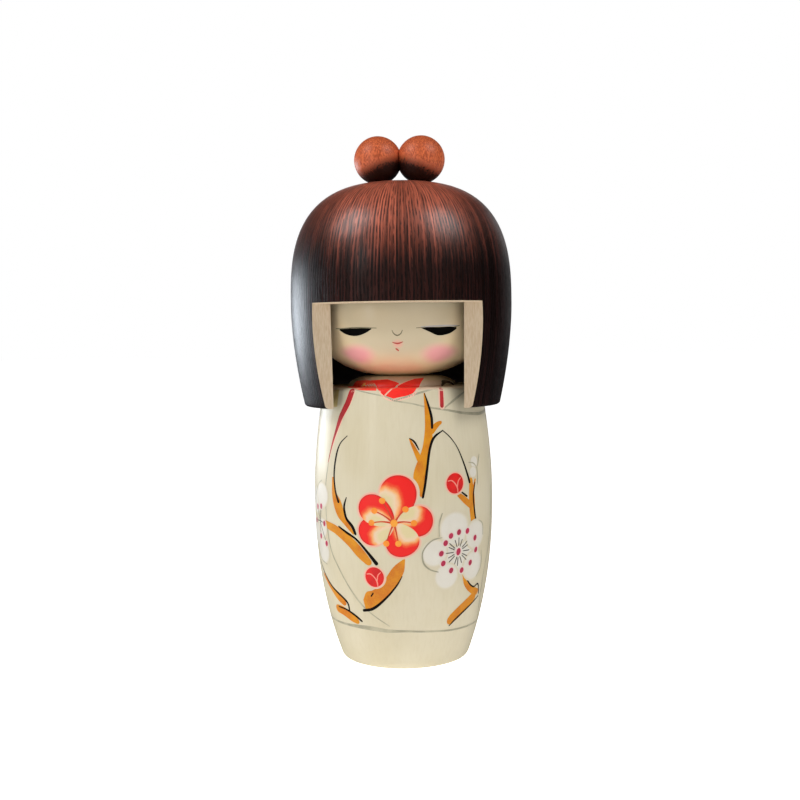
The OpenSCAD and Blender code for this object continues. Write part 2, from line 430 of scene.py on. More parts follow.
cream_lacquer, tree, shader = new_material("cream_lacquer", 0.45, 0.24, 0.2, 0.2)
fibre, blotch, _ = add_fibre(tree, 1400.0, 35.0, 0.0)
warm = mix(tree, remap(tree, blotch, 0.35, 0.65), (213, 202, 172), (218, 208, 181))
grained = mix(tree, remap(tree, fibre, 0.42, 0.7, 0.0, 0.14), warm, (198, 183, 146))
tree.links.new(grained, shader.inputs["Base Color"])
tree.links.new(remap(tree, fibre, 0.3, 0.7, 0.4, 0.48), shader.inputs["Roughness"])
add_relief(tree, shader, fibre, 0.02 * MM)
turned_body.data.materials.append(cream_lacquer)
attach(turned_body, "torso")
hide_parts("body")


# ---- Head ----
# A ball turned a little flat, with a flat chin over the collar. Cream lacquer, then a warm
# airbrushed tone round the chin and the temples, painted lighter than the cream as painted fill
# light where they sit in shade, and pink on the cheeks and round the mouth.

head_low, head_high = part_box("head")
chin_z = head_low.z
seat_z = head_high.z
head_r = min(head_high.x, head_high.y, -head_low.x, -head_low.y)
head_ring_z = chin_z + 18.8 * MM
chin_flat_r = 8.6 * MM
head_top_r = 9.8 * MM
neck_glue_r = 6.05 * MM
neck_glue_z = chin_z + 14.3 * MM
crown_glue_r = 4.05 * MM
crown_glue_z = seat_z - 12.3 * MM

head_skin = dome(head_r, head_ring_z, chin_z - head_ring_z, 2.4, chin_flat_r, 40)[::-1]
head_skin += dome(head_r, head_ring_z, seat_z - head_ring_z, 2.2, head_top_r, 40)[1:]
turned_head = turn_on_lathe(
    "turned_head",
    [(0, neck_glue_z), (neck_glue_r, neck_glue_z), (neck_glue_r, chin_z)]
    + head_skin
    + [(crown_glue_r, seat_z), (crown_glue_r, crown_glue_z), (0, crown_glue_z)],
    LATHE_STEPS,
)

face_lacquer, tree, shader = new_material("face_lacquer", 0.42, 0.35, 0.2)
fibre, blotch, _ = add_fibre(tree, 1400.0, 35.0, 0.0)
_, apart = coordinates(tree, "Object")


def airbrush(tree, apart, x, z, wide, high, inner, outer):
    """A soft oval in front of the face, 1 inside and 0 outside; sizes in metres, edges as shares."""
    dx = maths(tree, "DIVIDE", maths(tree, "SUBTRACT", apart[0], x), wide)
    dz = maths(tree, "DIVIDE", maths(tree, "SUBTRACT", apart[2], z), high)
    return remap(tree, reach_of(tree, dx, dz), inner, outer, 1.0, 0.0)


cream = mix(tree, remap(tree, blotch, 0.35, 0.65), (202, 184, 150), (207, 191, 160))
# Painted fill light: outside this cream oval the face takes a warm airbrush colour, set lighter than the
# cream to stand in for light where the chin and temples sit in shade.
clear = airbrush(tree, apart, 0.0, 110 * MM, 20 * MM, 20 * MM, 0.72, 1.22)
front = remap(tree, apart[1], -12 * MM, -18 * MM)
clear = maths(tree, "MULTIPLY", clear, front)
airbrush_with_painted_fill = mix(tree, clear, (255, 224, 176), cream)
for side in (-1, 1):
    blush = airbrush(tree, apart, side * 12.4 * MM, 93.6 * MM, 6.6 * MM, 3.9 * MM, 0.3, 1.1)
    blush = maths(tree, "MULTIPLY", maths(tree, "MULTIPLY", blush, front), 0.8)
    airbrush_with_painted_fill = mix(tree, blush, airbrush_with_painted_fill, (248, 156, 166))
mouth = airbrush(tree, apart, 0.2 * MM, 96.9 * MM, 2.0 * MM, 1.7 * MM, 0.25, 1.0)
mouth = maths(tree, "MULTIPLY", maths(tree, "MULTIPLY", mouth, front), 0.6)
airbrush_with_painted_fill = mix(tree, mouth, airbrush_with_painted_fill, (240, 160, 146))
tree.links.new(airbrush_with_painted_fill, shader.inputs["Base Color"])
add_relief(tree, shader, fibre, 0.015 * MM)
turned_head.data.materials.append(face_lacquer)
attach(turned_head, "head")
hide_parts("head")


# ---- Hair cap ----
# A hollow dome turned from ring-porous wood and brushed so that its grain stands up, stained dark
# and blackened inside. A slab is sawn away in front of the face, and the sawn faces stay bare.

hair_low, hair_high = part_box("hair_cap")
hair_r = min(hair_high.x, hair_high.y, -hair_low.x, -hair_low.y)
hem_z = hair_low.z
crown_z = hair_high.z
hair_ring_z = head_ring_z + 2.4 * MM
fringe_z = hair_ring_z
hem_gap = 3.1 * MM
hem_wall = 1.6 * MM
fringe_wall = 3.6 * MM
crown_cut = 0.25 * MM
hem_inner_r = flank(belly_r, shoulder_r, (hem_z - belly_z) / chest_h, SHOULDER_CURVE) + hem_gap
hem_r = hem_inner_r + hem_wall
HAIR_SQUARE = 2.84
dome_h = crown_z + crown_cut - hair_ring_z
crown_r = hair_r * (1 - (1 - crown_cut / dome_h) ** HAIR_SQUARE) ** (1 / HAIR_SQUARE)
roof_r = head_top_r + 3.3 * MM
crown_hole_z = crown_z - 7 * MM
cavity_r = hair_r - fringe_wall

hair_section = (
    [(hem_inner_r, hem_z)]
    + lower_flank(hair_r, hem_r, hem_z, hair_ring_z - hem_z, 1.75, 1.1 * MM, 36)
    + dome(hair_r, hair_ring_z, dome_h - crown_cut, HAIR_SQUARE, crown_r, 56)
    + [(0, crown_z), (0, crown_hole_z), (crown_glue_r, crown_hole_z), (crown_glue_r, seat_z)]
    + dome(cavity_r, fringe_z, seat_z - fringe_z, 2.6, roof_r, 24)[::-1]
    + [
        (hem_inner_r + (cavity_r - hem_inner_r) * i / 8, hem_z + (fringe_z - hem_z) * i / 8)
        for i in range(7, 0, -1)
    ]
)
hair_cap = turn_on_lathe("turned_hair_cap", hair_section, 160, closed=True)

cut_top = hair_r - 10.6 * MM
cut_bottom = hem_r - 9 * MM
past = 2 * MM
slant = (cut_top - cut_bottom) / (fringe_z - hem_z)
bpy.ops.object.select_all(action="DESELECT")
bpy.ops.mesh.primitive_cube_add(size=2, location=(0, 0, 0))
slab = bpy.context.object
slab.name = "sawn_slab"
for vertex in slab.data.vertices:
    high = vertex.co.z > 0
    z = fringe_z if high else hem_z - past
    back = -(cut_top if high else cut_bottom - slant * past)
    y = back if vertex.co.y > 0 else -(hair_r + past)
    vertex.co = (vertex.co.x * (hair_r + past), y, z)

hair_stain, tree, shader = new_material("hair_stain", 0.4, 0.12, 0.32, 0.16)
fibre, _, combed = add_fibre(tree, 2800.0, 330.0, 1.0)
long_fibre, _, _ = add_fibre(tree, 1300.0, 12.0, 1.0)
_, apart = coordinates(tree, "Object")
# The colour is partly the stain, wiped thinner and redder over the crown, and partly painted light
# and shade: lighter on the crown under the soft boxes overhead, darker low down and towards the
# sides, in streaks that end unevenly.
uneven = maths(tree, "MULTIPLY", maths(tree, "SUBTRACT", long_fibre, 0.5), 24 * MM)
painted_crown_light = remap(tree, maths(tree, "ADD", apart[2], uneven), 118 * MM, 141 * MM, 0.04, 1.0)
to_side = maths(tree, "ABSOLUTE", apart[0])
painted_crown_light = maths(tree, "MULTIPLY", painted_crown_light, remap(tree, to_side, 12 * MM, 27 * MM, 1.0, 0.3))
line = remap(tree, combed, 0.25, 0.75)
pore = maths(tree, "MULTIPLY", line, remap(tree, fibre, 0.4, 0.56))
red_share = maths(tree, "MULTIPLY", painted_crown_light, remap(tree, long_fibre, 0.3, 0.62, 0.45, 1.0))
thin = mix(tree, remap(tree, long_fibre, 0.46, 0.62), (7, 2, 2), (38, 15, 15))
dark = mix(tree, red_share, thin, (206, 108, 82))
poured = mix(tree, maths(tree, "MULTIPLY", pore, 0.8), dark, (10, 3, 3))
tree.links.new(poured, shader.inputs["Base Color"])
tree.links.new(remap(tree, fibre, 0.35, 0.65, 0.38, 0.5), shader.inputs["Roughness"])
# It was rubbed up with wax over the crown and on the left side.
waxed = remap(tree, apart[2], 114 * MM, 134 * MM, 0.02, 0.72)
rubbed = remap(tree, maths(tree, "MULTIPLY", apart[0], -1.0), 16 * MM, 27 * MM, 0.0, 0.4)
tree.links.new(maths(tree, "MAXIMUM", waxed, rubbed), shader.inputs["Coat Weight"])
add_relief(tree, shader, maths(tree, "SUBTRACT", 1.0, pore), 0.09 * MM)

hair_black, tree, shader = new_material("hair_black", 0.6, 0.0)
fibre, _, _ = add_fibre(tree, 1500.0, 40.0, 1.0)
inside = mix(tree, fibre, (8, 5, 6), (24, 16, 16))
tree.links.new(inside, shader.inputs["Base Color"])
add_relief(tree, shader, fibre, 0.05 * MM)

sawn_wood, tree, shader = new_material("sawn_wood", 0.55, 0.1)
fibre, _, _ = add_fibre(tree, 3200.0, 300.0, 0.0)
sawn = mix(tree, remap(tree, fibre, 0.35, 0.65), (202, 182, 154), (190, 166, 136))
tree.links.new(sawn, shader.inputs["Base Color"])
add_relief(tree, shader, fibre, 0.04 * MM)

for finish in (hair_stain, hair_black, sawn_wood):
    hair_cap.data.materials.append(finish)
slab.data.materials.append(sawn_wood)
for face in hair_cap.data.polygons:
    middle = face.center
    outward = face.normal.x * middle.x + face.normal.y * middle.y
    inside_z = hem_z + 0.3 * MM < middle.z < seat_z + 0.1 * MM
    reach = math.hypot(middle.x, middle.y)
    face.material_index = 1 if inside_z and outward < 0 and reach < hair_r - 2 * MM else 0
    if abs(middle.z - seat_z) < 0.05 * MM and face.normal.z < -0.9:
        face.material_index = 1

bpy.ops.object.select_all(action="DESELECT")
bpy.context.view_layer.objects.active = hair_cap
hair_cap.select_set(True)
cut = hair_cap.modifiers.new("saw cut", "BOOLEAN")
cut.operation = "DIFFERENCE"
cut.solver = "EXACT"
cut.material_mode = "TRANSFER"
cut.object = slab
bpy.ops.object.modifier_apply(modifier=cut.name)
bpy.data.objects.remove(slab)

# The front edge of the fringe is eased with a small chamfer that shows the bare wood.
bpy.ops.object.mode_set(mode="EDIT")
bpy.ops.mesh.select_mode(type="EDGE")
bpy.ops.mesh.select_all(action="DESELECT")
bpy.ops.object.mode_set(mode="OBJECT")
corners = [v.co for v in hair_cap.data.vertices]
for edge in hair_cap.data.edges:
    ends = [corners[i] for i in edge.vertices]
    on_fringe = all(abs(c.z - fringe_z) < 0.02 * MM for c in ends)
    outside = all(math.hypot(c.x, c.y) > hair_r - 0.1 * MM for c in ends)
    edge.select = on_fringe and outside and all(c.y < -cut_top + 0.01 * MM for c in ends)
bpy.ops.object.mode_set(mode="EDIT")
bpy.ops.mesh.bevel(offset=0.45 * MM, segments=1, affect="EDGES", material=2)
bpy.ops.object.mode_set(mode="OBJECT")
bpy.ops.object.shade_smooth_by_angle(angle=SMOOTH_UNDER)
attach(hair_cap, "head")
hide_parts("hair_cap")


# ---- Buns ----
# Two small balls of the same wood, stained redder. Each has a flat where it meets its twin and a
# smaller one on the crown, and stands on its own dowel.

bun_stain, tree, shader = new_material("bun_stain", 0.46, 0.1, 0.34, 0.3)
fibre, _, _ = add_fibre(tree, 2600.0, 1100.0, 0.0)
ruddy = mix(tree, remap(tree, fibre, 0.36, 0.64), (222, 113, 66), (170, 74, 42))
_, apart = coordinates(tree, "Object")
# Painted shade: near black under each bun and on its inner side where the two buns meet, with a ragged
# edge along the grain.
inner = maths(tree, "MULTIPLY", maths(tree, "ABSOLUTE", apart[0]), 0.4)
ragged = maths(tree, "MULTIPLY", maths(tree, "SUBTRACT", fibre, 0.5), 6 * MM)
level = maths(tree, "ADD", maths(tree, "ADD", apart[2], inner), ragged)
painted_underside_shade = remap(tree, level, 151.4 * MM, 154.8 * MM, 0.97, 0.0)
tree.links.new(mix(tree, painted_underside_shade, ruddy, (6, 2, 2)), shader.inputs["Base Color"])
add_relief(tree, shader, fibre, 0.08 * MM)

# The cuts need a fine threshold, or two rings of the ball count as lying on the lower plane.
ON_PLANE = 0.0001 * MM
for node in ("bun_left", "bun_right"):
    low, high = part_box(node)
    bun_r = (high.y - low.y) / 2
    side = 1 if high.x > bun_r else -1
    centre = Vector((side * ((high.x if side > 0 else -low.x) - bun_r), 0, high.z - bun_r))
    bpy.ops.object.select_all(action="DESELECT")
    bpy.ops.mesh.primitive_uv_sphere_add(segments=64, ring_count=40, radius=bun_r, location=centre)
    bun = bpy.context.object
    bun.name = "ball_" + node
    bpy.ops.object.transform_apply(location=True, rotation=True, scale=True)
    for point, normal in (((0, 0, 0), (-side, 0, 0)), ((0, 0, low.z), (0, 0, -1))):
        bpy.ops.object.mode_set(mode="EDIT")
        bpy.ops.mesh.select_all(action="SELECT")
        bpy.ops.mesh.bisect(
            plane_co=point,
            plane_no=normal,
            use_fill=True,
            clear_outer=True,
            threshold=ON_PLANE,
        )
        bpy.ops.object.mode_set(mode="OBJECT")
    bpy.ops.object.shade_smooth_by_angle(angle=SMOOTH_UNDER)
    bun.data.materials.append(bun_stain)
    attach(bun, "head")
    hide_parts(node)


# ---- Dowels ----
# Straight-grained pegs that hold the head, the hair and the buns; bare wood, hidden in their holes.

dowel_wood, tree, shader = new_material("dowel_wood", 0.7, 0.0)
fibre, _, _ = add_fibre(tree, 1800.0, 25.0, 0.0)
bare = mix(tree, fibre, (214, 182, 134), (176, 138, 92))
tree.links.new(bare, shader.inputs["Base Color"])
add_relief(tree, shader, fibre, 0.05 * MM)
for name in ("neck_dowel", "crown_dowel", "bun_dowel_left", "bun_dowel_right"):
    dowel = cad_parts[name]
    dowel.data.materials.clear()
    dowel.data.materials.append(dowel_wood)


# ---- Painting: kimono lines ----
# The kimono is drawn on the bare lacquer with a fine brush in thin warm grey: neckline, sleeves
# and a hem line right round. Each painted mark is a film of paint a few hundredths thick.


def chart(section, marks):
    """A turned skin as a chart: degrees round from the front and a mark up it give a point."""

    def place(turn, up, lift):
        last = len(marks) - 1
        i = max(1, next((k for k, m in enumerate(marks) if m >= up), last))
        (r0, z0), (r1, z1) = section[i - 1], section[i]
        share = min(max((up - marks[i - 1]) / (marks[i] - marks[i - 1]), 0), 1)
        run = math.hypot(r1 - r0, z1 - z0)
        r = r0 + (r1 - r0) * share + lift * (z1 - z0) / run
        z = z0 + (z1 - z0) * share - lift * (r1 - r0) / run
        return Vector((r * math.sin(math.radians(turn)), -r * math.cos(math.radians(turn)), z))

    return place


skin_marks = [0.0]
for (r0, z0), (r1, z1) in zip(body_skin, body_skin[1:]):
    skin_marks.append(skin_marks[-1] + math.hypot(r1 - r0, z1 - z0) / MM)
on_body = chart(body_skin, skin_marks)


# The width of one degree round the doll in mm, close enough for brush work.
DEGREE_MM = 0.46


def along(points, share):
    """The place at a share of a smooth line through given points; widths run along with it."""
    reach = [0.0]
    for a, b in zip(points, points[1:]):
        reach.append(reach[-1] + math.hypot((b[0] - a[0]) * DEGREE_MM, b[1] - a[1]))
    s = share * reach[-1]
    i = min(max(k for k, r in enumerate(reach) if r <= s + 1e-9), len(points) - 2)
    span = reach[i + 1] - reach[i]
    u = (s - reach[i]) / span
    values = []
    for c in range(len(points[0])):
        ends = []
        for k in (i, i + 1):
            lo, hi = max(k - 1, 0), min(k + 1, len(points) - 1)
            ends.append((points[hi][c] - points[lo][c]) / (reach[hi] - reach[lo]) * span)
        values.append(
            points[i][c] * (2 * u**3 - 3 * u**2 + 1)
            + points[i + 1][c] * (3 * u**2 - 2 * u**3)
            + ends[0] * (u**3 - 2 * u**2 + u)
            + ends[1] * (u**3 - u**2)
        )
    return values, reach[-1]


def lay_film(place, columns, rows, spot, lift, material):
    """A film of paint laid on the skin where spot says; lift puts the later coats on top."""
    bpy.ops.object.select_all(action="DESELECT")
    bpy.ops.mesh.primitive_grid_add(x_subdivisions=columns, y_subdivisions=rows, size=2)
    film = bpy.context.object
    spots = [spot((v.co.x + 1) / 2, v.co.y) for v in film.data.vertices]
    for loop, corner_uv in zip(film.data.loops, film.data.uv_layers.active.data):
        corner_uv.uv = spots[loop.vertex_index][2]
    for vertex, (turn, up, _) in zip(film.data.vertices, spots):
        vertex.co = place(turn, up, (0.01 + 0.2 * lift) * MM)
    bpy.ops.object.mode_set(mode="EDIT")
    bpy.ops.mesh.select_all(action="SELECT")
    bpy.ops.mesh.remove_doubles(threshold=WELD)
    bpy.ops.object.mode_set(mode="OBJECT")
    thick = film.modifiers.new("paint thickness", "SOLIDIFY")
    thick.thickness = 0.006 * MM
    thick.offset = 1
    bpy.ops.object.modifier_apply(modifier=thick.name)
    film.data.materials.append(material)
    return film


def brush_line(points, lift, material, place=on_body):
    """A brush stroke through (degrees, up, width in mm) points, with rounded ends."""
    length = along(points, 0)[1]

    def spot(share, across):
        t = 0.5 - 0.5 * math.cos(math.pi * share)
        (turn, up, width), _ = along(points, t)
        (t0, u0, _), _ = along(points, max(t - 0.01, 0))
        (t1, u1, _), _ = along(points, min(t + 0.01, 1))
        dx, dy = (t1 - t0) * DEGREE_MM, u1 - u0
        size = math.hypot(dx, dy)
        near = min(t, 1 - t) * length / max(width / 2, 0.02)
        width *= math.sqrt(max(1 - (1 - min(near, 1)) ** 2, 0.01))
        step = across * width / 2
        return turn - dy / size * step / DEGREE_MM, up + dx / size * step, (t, 0.5 + across / 2)

    return lay_film(place, max(12, round(length / 0.5)), 3, spot, lift, material)


def filled_shape(edge_a, edge_b, lift, material, rows=16, place=on_body):
    """Paint filled in between two given edges, the right-hand one first."""
    length = max(along(edge_a, 0)[1], along(edge_b, 0)[1])

    def spot(share, across):
        a, _ = along(edge_a, share)
        b, _ = along(edge_b, share)
        k = (across + 1) / 2
        return a[0] + (b[0] - a[0]) * k, a[1] + (b[1] - a[1]) * k, (share, k)

    return lay_film(place, max(16, round(length / 0.35)), rows, spot, lift, material)


def on_disc(share, across):
    """A grid's place, squeezed from a square into a disc of radius 1."""
    a, b = 2 * share - 1, across
    return a * math.sqrt(1 - b * b / 2), b * math.sqrt(1 - a * a / 2)


def round_dab(centre, radii, lift, material, lean=0, cells=8):
    """An oval dab of paint; its UV runs from the middle out, whatever its size."""
    c, s = math.cos(math.radians(lean)), math.sin(math.radians(lean))

    def spot(share, across):
        x, y = on_disc(share, across)
        dx, dy = x * radii[0], y * radii[1]
        return (
            centre[0] + (dx * c - dy * s) / DEGREE_MM,
            centre[1] + dx * s + dy * c,
            (0.5 + x / 2, 0.5 + y / 2),
        )

    return lay_film(on_body, cells, cells, spot, lift, material)


def strokes(lift, material, lines, place=on_body):
    """Brush strokes of one paint in one coat, a list of points for each."""
    return [brush_line(points, lift, material, place) for points in lines]


def gather(name, films, body_name="torso"):
    """Joins the films of one paint into a piece and lets it ride on its body."""
    bpy.ops.object.select_all(action="DESELECT")
    for film in films:
        film.select_set(True)
    bpy.context.view_layer.objects.active = films[0]
    if len(films) > 1:
        bpy.ops.object.join()
    piece = bpy.context.object
    piece.name = name
    bpy.ops.object.shade_smooth_by_angle(angle=math.radians(40))
    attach(piece, body_name)
    return piece


# Streaks that follow each stroke, and a slow drift between two mixes of the paint.
brushed_paint, brush_in, brush_out = node_group(
    "brushed_paint",
    [
        ("Full", "NodeSocketColor", (1, 1, 1, 1)),
        ("Thin", "NodeSocketColor", (0, 0, 0, 1)),
        ("Drift", "NodeSocketFloat", 0.5),
    ],
    [("Colour", "NodeSocketColor"), ("Streak", "NodeSocketFloat")],
)
place_in = new_node(brushed_paint, "TexCoord")
stretch = new_node(brushed_paint, "Mapping", {"Scale": (5, 16, 1)})
brushed_paint.links.new(place_in.outputs["UV"], stretch.inputs["Vector"])
streak = new_node(brushed_paint, "TexNoise", {"Detail": 3.0})
brushed_paint.links.new(stretch.outputs[0], streak.inputs["Vector"])
drift = new_node(brushed_paint, "TexNoise", {"Scale": 260.0})
brushed_paint.links.new(place_in.outputs["Object"], drift.inputs["Vector"])
both = maths(brushed_paint, "ADD", streak.outputs["Fac"], drift.outputs["Fac"])
share = remap(brushed_paint, both, 0.85, 1.2)
share = maths(brushed_paint, "MULTIPLY", share, brush_in.outputs["Drift"])
mixed = mix(brushed_paint, share, brush_in.outputs["Full"], brush_in.outputs["Thin"])
brushed_paint.links.new(mixed, brush_out.inputs["Colour"])
brushed_paint.links.new(streak.outputs["Fac"], brush_out.inputs["Streak"])


def hand_paint(name, full, thin, drift_share=0.6, roughness=0.44, coat=0.2, specular=0.35):
    """A paint mixed from two colours under the same clear lacquer as the wood."""
    material, tree, shader = new_material(name, roughness, coat, 0.16, specular)
    node = new_node(tree, "Group")
    node.node_tree = brushed_paint
    set_inputs(
        node,
        {
            "Full": display_colour(*full),
            "Thin": display_colour(*thin),
            "Drift": drift_share,
        },
    )
    tree.links.new(node.outputs["Colour"], shader.inputs["Base Color"])
    add_relief(tree, shader, node.outputs["Streak"], 0.01 * MM)
    return material


def soft_edge(material, start, end, ground, strength):
    """Fades a dab into the colour it lies on, from start to end of its radius."""
    tree = material.node_tree
    shader = tree.nodes["Principled BSDF"]
    _, apart = coordinates(tree, "UV")
    off_middle = [maths(tree, "SUBTRACT", apart[axis], 0.5) for axis in (0, 1)]
    cover = remap(tree, reach_of(tree, *off_middle), start / 2, end / 2, strength, 0.0)
    paint = shader.inputs["Base Color"].links[0].from_socket
    tree.links.new(mix(tree, cover, ground, paint), shader.inputs["Base Color"])


WOOD_GROUND = (216, 205, 177)
grey_ink = hand_paint("grey_ink", (164, 158, 134), (196, 188, 160), 0.9)
kimono_lines = strokes(0.02, grey_ink, (
    [(-31, 86, 0.3), (-19, 85, 0.4), (-8, 84, 0.4), (-3, 83, 0.5), (9, 82, 0.4), (18, 81, 0.5),
     (31, 80, 0.6), (50, 78.5, 0.8), (70, 78, 0.9), (110, 80, 0.6), (150, 84, 0.4)],
    [(-2, 83, 0.3), (6, 84, 0.5), (14, 85, 0.6), (28, 86.5, 0.4)],
    [(32, 80.5, 0.4), (42, 83, 0.7), (52, 85, 0.4)],
    [(-49, 69, 0.2), (-53, 62, 0.4), (-55, 55, 0.5), (-54, 46, 0.5), (-51, 38, 0.5),
     (-44, 32.5, 0.5), (-36, 27, 0.5), (-28, 22.5, 0.6), (-20, 19.5, 0.4), (-8, 16, 0.3)],
    [(78, 56, 0.4), (77, 47, 0.6), (75, 38, 0.6), (70, 30, 0.5), (70, 22, 0.5), (76, 14, 0.4)],
    [(-182, 15, 0.5), (-110, 15, 0.6), (-65, 15, 0.6), (-42, 15, 0.9), (-23, 15, 1.4),
     (-9, 14.5, 1.1), (3, 14.5, 0.7), (22, 14, 0.6), (41, 13.5, 0.6), (75, 13.5, 0.6),
     (130, 14.5, 0.5), (182, 15, 0.5)],
    [(180, 84, 0.3), (179, 70, 0.5), (180, 50, 0.5), (181, 30, 0.5), (180, 15, 0.3)],
    [(110, 60, 0.2), (124, 48, 0.5), (132, 36, 0.5), (148, 24, 0.5), (172, 16, 0.3)],
    [(-80, 62, 0.2), (-98, 50, 0.5), (-112, 38, 0.5), (-134, 26, 0.5), (-168, 16, 0.3)],
))
gather("kimono_lines", kimono_lines)


# ---- Painting: collar and sleeve edges ----
# The under-kimono shows as two red lapels crossed over the neck, red scarf and sleeve edges, and
# pale turned-back cloth on the shoulder, all flat brush work with a pink bleed beside the red.

pale_cloth = hand_paint("pale_cloth", (214, 192, 168), (226, 208, 184), 0.8)
pink_bleed = hand_paint("pink_bleed", (244, 196, 174), (238, 208, 180), 0.8)
collar_red = hand_paint("collar_red", (255, 44, 32), (240, 34, 26), 0.8)
sleeve_red = hand_paint("sleeve_red", (196, 44, 48), (160, 40, 46), 0.8)
scarf_red = hand_paint("scarf_red", (250, 54, 36), (244, 92, 64), 1.0)
scarf_flower = hand_paint("scarf_flower", (250, 156, 70), (244, 190, 110), 0.8)
olive_painted_shade = hand_paint("olive_painted_shade", (196, 168, 104), (214, 196, 142), 0.9)
shade_grey = hand_paint("shade_grey", (78, 64, 44), (128, 110, 82), 0.9)

cloth_edges = (
    ([(28, 86), (31, 87.5), (48, 93.8), (52, 96)], [(14, 86), (16, 87.5), (22, 93.8), (30, 96)]),
    ([(-16, 97), (0, 94.5), (20, 97.3)], [(-16, 99), (0, 99), (20, 99)]),
)
gather("pale_cloth", [filled_shape(a, b, 0.02, pale_cloth) for a, b in cloth_edges])
gather("pink_bleed", strokes(0.02, pink_bleed, (
    [(30.5, 86.5, 2.0), (30, 80, 2.0)],
    [(-32, 86, 1.6), (-36, 82, 1.6), (-41, 78, 1.5), (-44, 74.5, 1.2), (-48.5, 69.5, 0.8),
     (-52, 64, 0.4)],
    [(-13, 85.8, 0.5), (-9, 83.8, 0.6), (-3, 83, 0.6), (10, 84.4, 0.6), (15, 87.5, 0.6),
     (21, 93.8, 0.6)],
)))
lapels = (
    ([(-15, 97.3), (0, 94.8), (-4, 93.8), (-4, 87.5), (-9, 84.3)],
     [(-36, 96.5), (-24, 93.8), (-16, 87.5), (-13, 85.7), (-9, 84.2)], 0.06),
    ([(32, 98), (21, 94), (14, 87.5), (10, 85), (-3, 83.5)],
     [(18, 97.5), (1, 94.6), (-2, 93.8), (-3, 87.5), (-9, 84.4)], 0.1),
)
gather("collar_lapels", [filled_shape(a, b, lift, collar_red, 24) for a, b, lift in lapels])
lapel_edge = [(-9, 84.3, 0.4), (-3, 87.5, 0.45), (-2, 93.8, 0.45), (1, 94.7, 0.4), (18, 97.5, 0.3)]
gather("lapel_edge", [brush_line(lapel_edge, 0.14, pink_bleed)])
gather(
    "scarf",
    [
        filled_shape(
            [(-15, 85.8), (-32, 86.3), (-45, 89), (-60, 92)],
            [(-16, 87.5), (-25, 93.8), (-36, 96.4), (-60, 96)],
            0.04,
            scarf_red,
        ),
        round_dab((-41, 94.3), (0.9, 0.8), 0.07, scarf_flower),
    ],
)
gather("sleeve_edges", strokes(0.06, sleeve_red, (
    [(31, 86.8, 1.2), (30, 80.5, 1.3)],
    [(-33.5, 86.5, 2.1), (-37, 82, 2.1), (-42, 78, 1.8), (-45, 74.5, 1.2), (-49, 69.5, 0.6),
     (-52.5, 64, 0.2)],
)))
# Painted shade: an olive patch on the left shoulder, under the hair cap's skirt where its shadow falls.
gather(
    "shoulder_shade",
    [
        filled_shape([(-47, 80.8), (-47, 86)], [(-52.5, 80.6), (-55, 85.8)], 0.03, olive_painted_shade),
    ],
)
shoulder_fold = [(47, 93.6, 0.8), (54, 95, 1.5), (64, 94.8, 1.1), (76, 93.2, 0.4)]
gather("shoulder_fold", [brush_line(shoulder_fold, 0.04, shade_grey)])


# ---- Painting: plum branches ----
# Ochre wood laid in wide loaded strokes, lighter where the brush ran dry, with a black line down
# the shaded side of each branch and on each twig.

branch_ochre = hand_paint("branch_ochre", (224, 148, 12), (206, 106, 8), 0.8)
branch_ink = hand_paint("branch_ink", (10, 5, 3), (30, 18, 10), 0.6, 0.5, 0.0, 0.25)
branches = [
    filled_shape(right, left, 0.06, branch_ochre)
    for right, left in (
        ([(18.5, 85), (21, 80), (21.5, 75), (22, 71), (18, 65), (15, 55)],
         [(17.5, 85), (17.5, 78), (17, 74), (15, 69), (9, 61), (13, 55)]),
        ([(-46, 60), (-44, 56), (-39, 53), (-36, 49), (-29, 44)],
         [(-47.5, 60), (-47, 54), (-43, 49), (-36, 46), (-30, 43.5)]),
        ([(-25, 21), (-16, 22.2), (-8, 25.4), (-2, 29.2), (2.5, 33), (3.5, 37)],
         [(-26, 24), (-23, 26.5), (-18, 27.3), (-11, 30), (-4, 34.5), (2.5, 37)]),
    )
]
branches += strokes(0.06, branch_ochre, (
    [(20, 73, 1.8), (25, 75.5, 1.6), (29, 76.5, 0.8)],
    [(14, 65, 1.8), (9.5, 69.5, 1.0), (7, 72, 0.4)],
    [(49.5, 59.5, 1.2), (50, 54, 2.4), (50.5, 50, 2.4), (51.5, 44.5, 1.4)],
    [(54, 59, 0.6), (51, 55, 1.0)],
    [(38, 55.2, 1.2), (44, 53, 1.9), (50, 50.8, 1.8)],
    [(-58, 45.8, 1.8), (-52, 45.2, 2.4), (-44, 44.3, 2.6), (-33, 41.5, 3), (-25, 38, 3),
     (-18.5, 35, 1.8)],
    [(-68, 29.6, 0.8), (-55, 25.4, 2), (-48, 23.2, 2.6), (-42, 21.6, 2)],
    [(-55.5, 19.6, 2.4), (-46, 19.2, 3), (-37, 17.4, 2.6), (-32, 16.3, 1.4)],
    [(44, 31, 0.6), (48, 27.5, 1.6), (56, 25, 2.2), (64, 23.8, 2.0)],
    [(61, 23.6, 2.8), (49.5, 20.6, 3.4), (39, 17.5, 3.2), (35, 15.9, 2.2)],
    [(150, 66, 0.6), (158, 58, 1.6), (160, 48, 2.0), (152, 38, 1.4)],
))
gather("plum_branches", branches)
